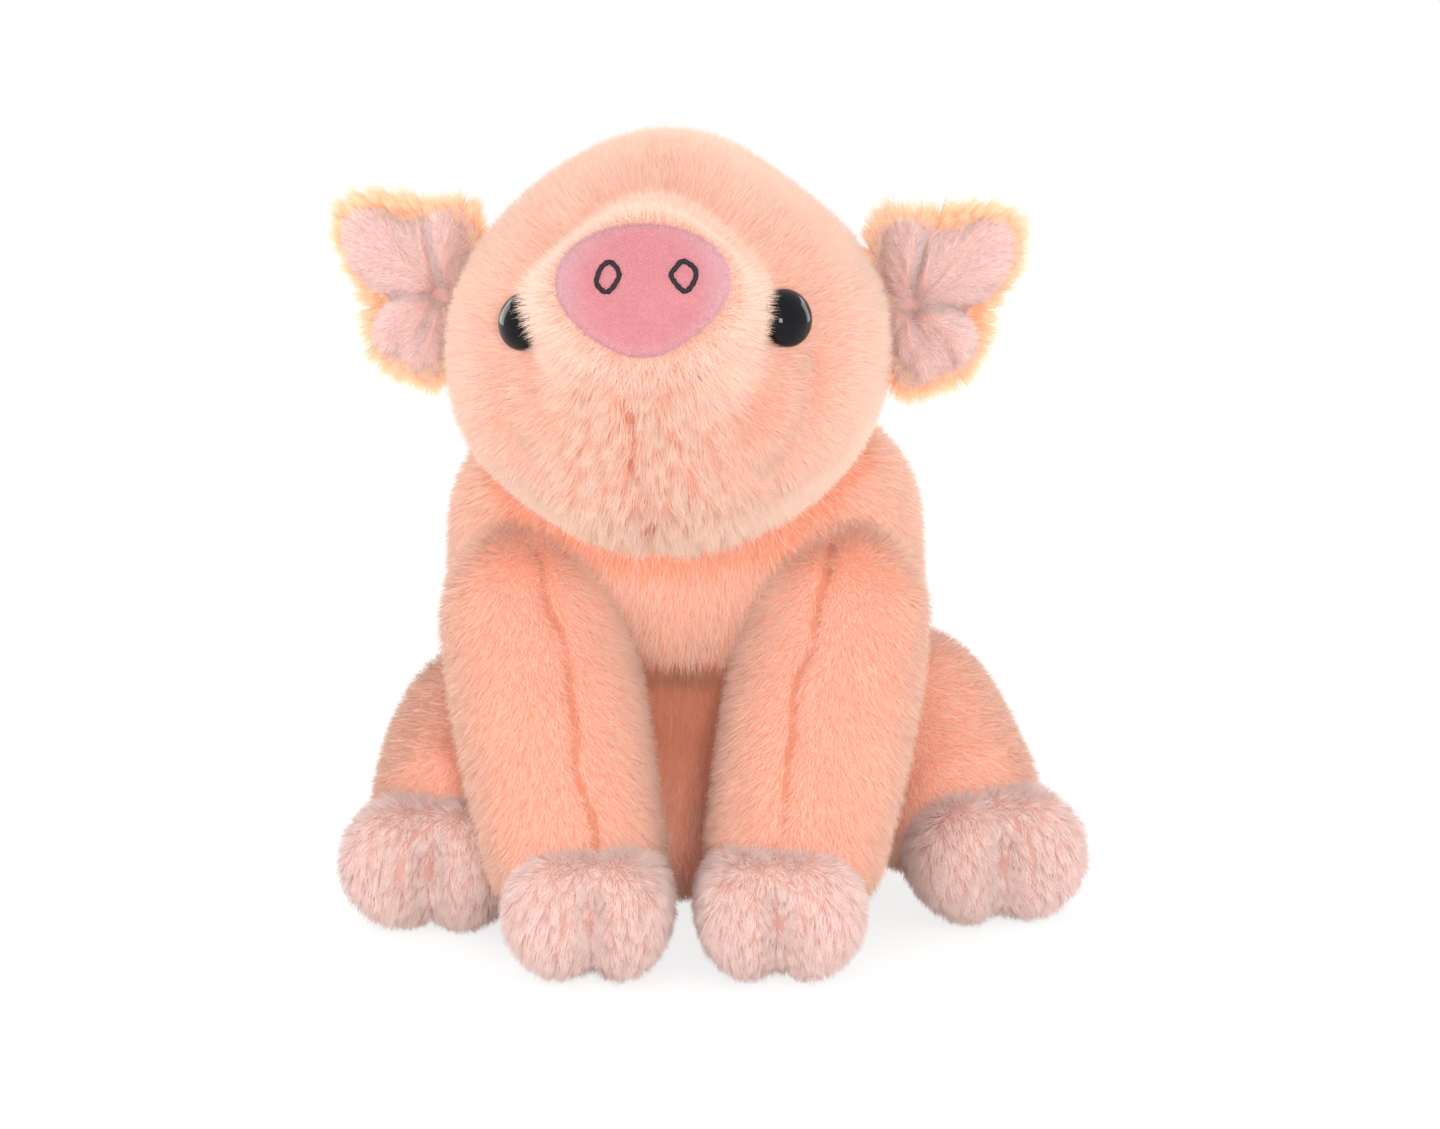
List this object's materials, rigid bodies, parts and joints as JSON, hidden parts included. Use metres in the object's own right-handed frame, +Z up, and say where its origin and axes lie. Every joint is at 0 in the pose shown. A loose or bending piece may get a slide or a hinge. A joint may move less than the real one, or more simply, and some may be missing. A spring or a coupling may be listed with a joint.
{
  "type": "plush toy pig",
  "caption": "Seated plush pig with a round stuffed body, a turned head with a short muzzle, floppy lined ears, soft swinging legs with cloven hooves and a curled tail.",
  "frame": {"origin": "the middle of the flat patch under the seat, on the floor", "axes": "+Z up, -Y the way the pig looks, +X the pig's own left"},
  "size_m": [0.2244, 0.2098, 0.2372],
  "materials": {
    "peach_plush": "short dense pile, matt with a pale sheen at its edges",
    "pale_plush": "short dense pile, matt with a pale sheen at its edges",
    "hoof_plush": "longer, softer pile with a satin sheen",
    "ear_satin": "very short satin pile",
    "nose_velour": "flat velour, matt",
    "dark_thread": "satin stitch thread",
    "fibre_filling": "loose polyester fibre",
    "seat_pellets": "small round pellets in a thin cloth pouch",
    "black_eye": "polished",
    "washer_plastic": "moulded, milky"
  },
  "bodies": {
    "torso": {"body_cover": "peach_plush", "body_filling": "fibre_filling", "pellet_pouch": "seat_pellets"},
    "head": {"head_cover": "pale_plush", "head_filling": "fibre_filling", "eye_left": "black_eye", "eye_washer_left": "washer_plastic", "eye_right": "black_eye", "eye_washer_right": "washer_plastic", "nose_pad": "nose_velour", "nostril_stitch_left": "dark_thread", "nostril_stitch_right": "dark_thread"},
    "ear_left": {"ear_back_left": "pale_plush", "ear_lining_left": "ear_satin"},
    "ear_right": {"ear_back_right": "pale_plush", "ear_lining_right": "ear_satin"},
    "front_leg_left": {"front_left_leg_cover": "peach_plush", "front_left_hoof_cover": "hoof_plush", "front_left_leg_filling": "fibre_filling"},
    "front_leg_right": {"front_right_leg_cover": "peach_plush", "front_right_hoof_cover": "hoof_plush", "front_right_leg_filling": "fibre_filling"},
    "hind_leg_left": {"hind_left_leg_cover": "peach_plush", "hind_left_hoof_cover": "hoof_plush", "hind_left_leg_filling": "fibre_filling"},
    "hind_leg_right": {"hind_right_leg_cover": "peach_plush", "hind_right_hoof_cover": "hoof_plush", "hind_right_leg_filling": "fibre_filling"},
    "tail": {"tail": "peach_plush"}
  },
  "joints": [
    {"name": "neck_turn", "type": "hinge", "parent": "torso", "child": "head", "pos_m": [-0.004, -0.02785, 0.14057], "axis": [0, -0.3987, 0.9171], "range_deg": [-20, 20], "stiffness_Nm_per_rad": 0.5},
    {"name": "ear_flap_left", "type": "hinge", "parent": "head", "child": "ear_left", "pos_m": [0.05899, -0.0462, 0.1854], "axis": [-0.1046, 0.3043, 0.9468], "range_deg": [-25, 25], "stiffness_Nm_per_rad": 0.02},
    {"name": "ear_flap_right", "type": "hinge", "parent": "head", "child": "ear_right", "pos_m": [-0.06531, -0.0335, 0.18563], "axis": [-0.1664, -0.2629, -0.9504], "range_deg": [-25, 25], "stiffness_Nm_per_rad": 0.02},
    {"name": "front_leg_swing_left", "type": "hinge", "parent": "torso", "child": "front_leg_left", "pos_m": [0.05, -0.045, 0.122], "axis": [-1, 0, 0], "range_deg": [0, 35], "stiffness_Nm_per_rad": 0.4},
    {"name": "front_leg_swing_right", "type": "hinge", "parent": "torso", "child": "front_leg_right", "pos_m": [-0.05, -0.045, 0.122], "axis": [-1, 0, 0], "range_deg": [0, 35], "stiffness_Nm_per_rad": 0.4},
    {"name": "hind_leg_swing_left", "type": "hinge", "parent": "torso", "child": "hind_leg_left", "pos_m": [0.054, 0.037, 0.052], "axis": [0, 0, 1], "range_deg": [0, 25], "stiffness_Nm_per_rad": 0.4},
    {"name": "hind_leg_swing_right", "type": "hinge", "parent": "torso", "child": "hind_leg_right", "pos_m": [-0.054, 0.037, 0.052], "axis": [0, 0, -1], "range_deg": [0, 25], "stiffness_Nm_per_rad": 0.4},
    {"name": "tail_wag", "type": "hinge", "parent": "torso", "child": "tail", "pos_m": [0, 0.06486, 0.066], "axis": [0, 0, 1], "range_deg": [-20, 20], "stiffness_Nm_per_rad": 0.01}
  ]
}
